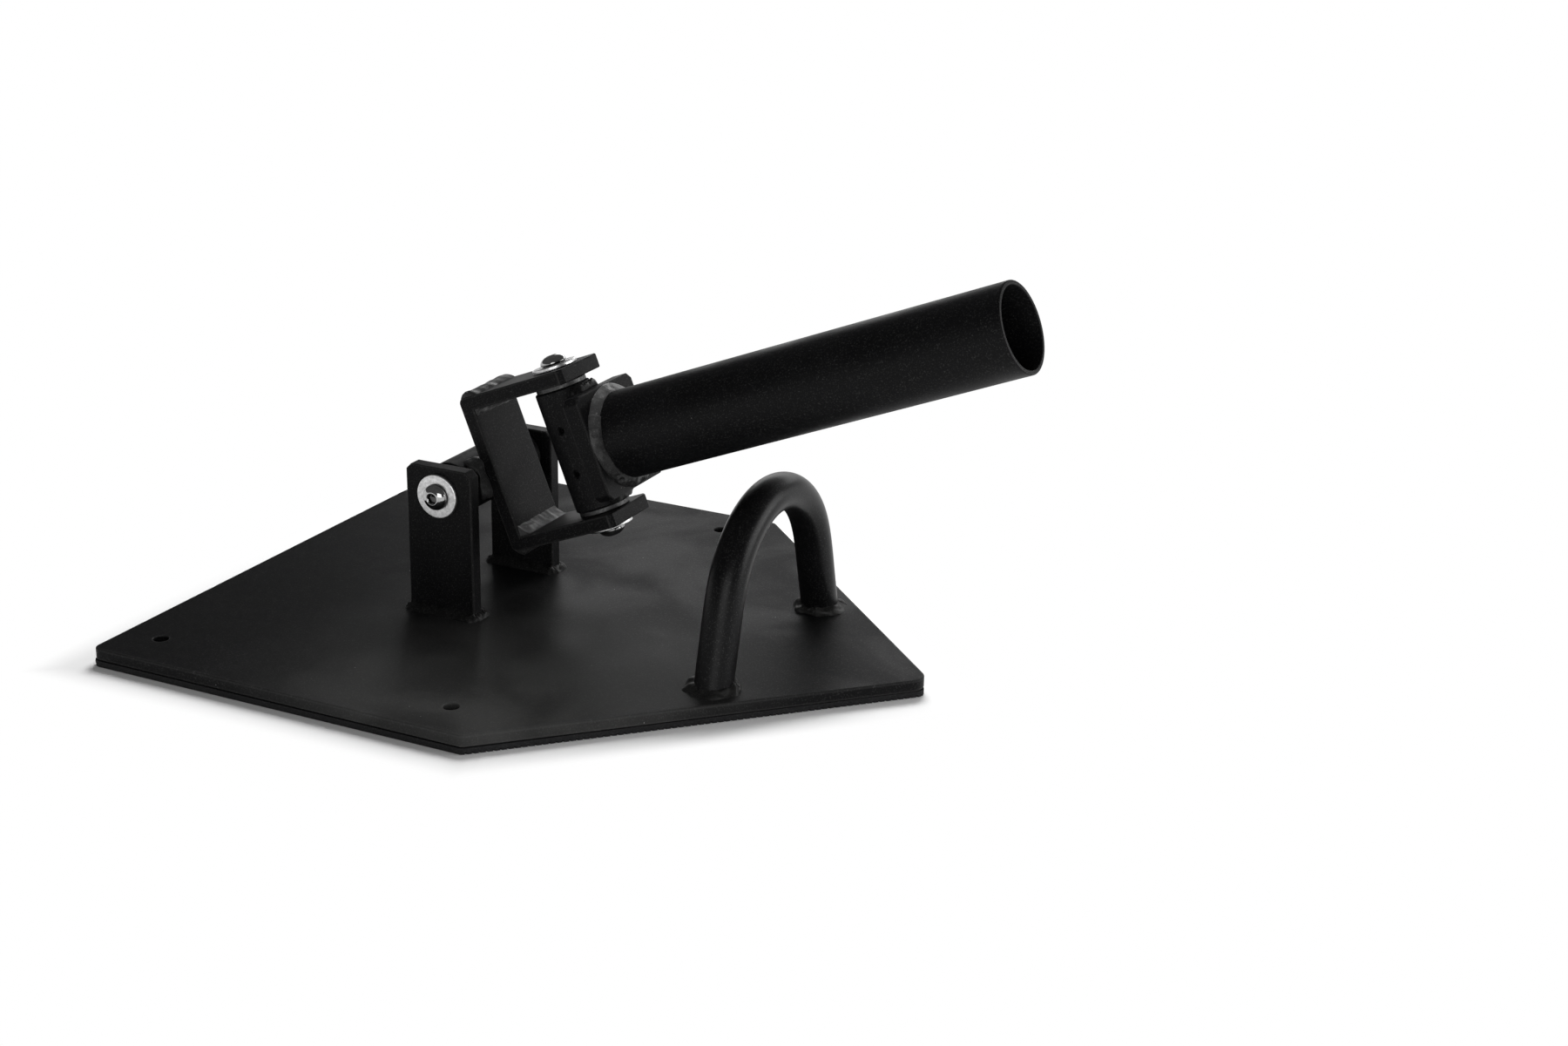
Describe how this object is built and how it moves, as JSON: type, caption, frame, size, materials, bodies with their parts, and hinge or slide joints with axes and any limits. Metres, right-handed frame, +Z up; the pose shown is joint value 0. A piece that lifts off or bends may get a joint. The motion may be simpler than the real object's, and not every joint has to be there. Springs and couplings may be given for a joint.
{
  "type": "t-bar row attachment",
  "caption": "Pentagonal floor plate on a ribbed rubber mat, with a welded yoke that tilts, an open sleeve that swivels to hold one end of a bar, and a bent-rod stop.",
  "frame": {"origin": "on the floor, under the middle of the tilt pin", "axes": "+X from the tilt pin towards the plate's nose and the sleeve's open end, +Y along the tilt pin to the far ear, +Z up"},
  "size_m": [0.5524, 0.421, 0.2746],
  "materials": {
    "black_powder_coat": "satin powder coat over steel",
    "coated_weld": "weld bead under the same satin coat",
    "black_rubber": "matt",
    "zinc_plated_steel": "bright zinc plate",
    "ground_steel": "ground",
    "sintered_bush": "sintered metal, oiled"
  },
  "bodies": {
    "base": {"base_plate": "black_powder_coat", "rubber_mat": "black_rubber", "ear_near": "black_powder_coat", "ear_far": "black_powder_coat", "ear_weld_near": "coated_weld", "ear_weld_far": "coated_weld", "hoop": "black_powder_coat", "hoop_weld_near": "coated_weld", "hoop_weld_far": "coated_weld", "tilt_pin": "ground_steel", "tilt_washer_near": "zinc_plated_steel", "tilt_washer_far": "zinc_plated_steel", "tilt_screw_near": "zinc_plated_steel", "tilt_screw_far": "zinc_plated_steel"},
    "yoke": {"tilt_barrel": "black_powder_coat", "tilt_bush_near": "sintered_bush", "tilt_bush_far": "sintered_bush", "tilt_barrel_weld": "coated_weld", "yoke_back_bar": "black_powder_coat", "yoke_arm_upper": "black_powder_coat", "yoke_arm_lower": "black_powder_coat", "yoke_inner_weld_upper": "coated_weld", "yoke_inner_weld_lower": "coated_weld", "yoke_outer_weld_upper": "coated_weld", "yoke_outer_weld_lower": "coated_weld", "swivel_pin": "ground_steel", "swivel_washer_upper": "zinc_plated_steel", "swivel_washer_lower": "zinc_plated_steel", "swivel_screw_upper": "zinc_plated_steel", "swivel_screw_lower": "zinc_plated_steel"},
    "sleeve": {"swivel_barrel": "black_powder_coat", "swivel_bush_upper": "sintered_bush", "swivel_bush_lower": "sintered_bush", "swivel_barrel_weld": "coated_weld", "sleeve_flange": "black_powder_coat", "sleeve_tube": "black_powder_coat", "sleeve_weld": "coated_weld"}
  },
  "joints": [
    {"name": "tilt", "type": "hinge", "parent": "base", "child": "yoke", "pos_m": [0, 0, 0.0953], "axis": [0, -1, 0], "range_deg": [-5.5, 165]},
    {"name": "swivel", "type": "hinge", "parent": "yoke", "child": "sleeve", "pos_m": [0.07723, 0, 0.1265], "axis": [-0.3746, 0, 0.9272], "range_deg": [-110, 110]}
  ]
}
